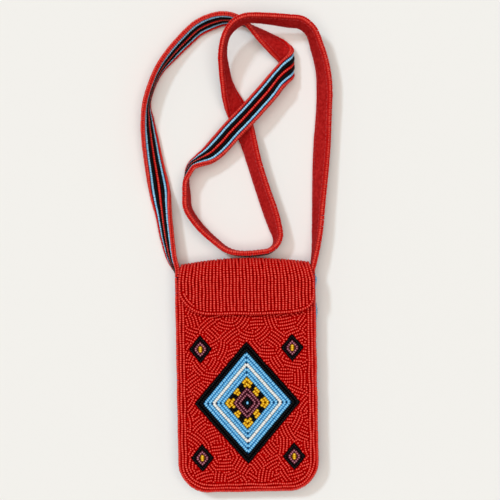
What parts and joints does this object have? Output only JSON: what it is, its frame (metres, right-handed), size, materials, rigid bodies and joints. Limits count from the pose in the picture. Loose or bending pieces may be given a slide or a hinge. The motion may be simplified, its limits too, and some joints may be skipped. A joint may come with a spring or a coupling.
{
  "type": "phone crossbody bag",
  "caption": "Slim bead-covered phone pouch with a fold-over flap, a striped bead gusset and a long striped bead strap that lies in loops above it.",
  "frame": {"origin": "under the middle of the pouch, on the surface that its back lies on; the strap is left out of the middle", "axes": "+X across the pouch to the right as its front is seen, +Y from its bottom up to its flap and strap, +Z out of its front"},
  "size_m": [0.1508, 0.3726, 0.0366],
  "materials": {
    "red_beads": "glossy seed beads sewn in rows",
    "black_beads": "glossy seed beads",
    "light_blue_beads": "glossy seed beads",
    "yellow_beads": "glossy seed beads",
    "plum_beads": "glossy seed beads",
    "canvas": "woven canvas backing",
    "lining": "smooth woven lining",
    "ribbon": "woven ribbon",
    "steel": "plated snap"
  },
  "bodies": {
    "root": {"back_and_flap_beadwork": "red_beads", "back_and_flap_canvas": "canvas", "back_and_flap_lining": "lining", "flap_rim_beads": "red_beads", "gusset_beadwork": "red_beads", "gusset_ribbon": "ribbon", "front_beadwork": "red_beads", "front_outline_beads": "red_beads", "front_canvas": "canvas", "front_lining": "lining", "mouth_binding": "ribbon", "motif_border": "black_beads", "motif_field": "light_blue_beads", "motif_blocks": "yellow_beads", "motif_heart": "plum_beads", "small_motif_upper_left": "plum_beads", "small_motif_upper_right": "plum_beads", "small_motif_lower_left": "plum_beads", "small_motif_lower_right": "plum_beads", "snap_socket": "steel", "snap_socket_washer": "steel", "snap_stud": "steel", "snap_stud_washer": "steel", "strap_beadwork": "red_beads", "strap_ribbon": "ribbon"}
  },
  "joints": []
}
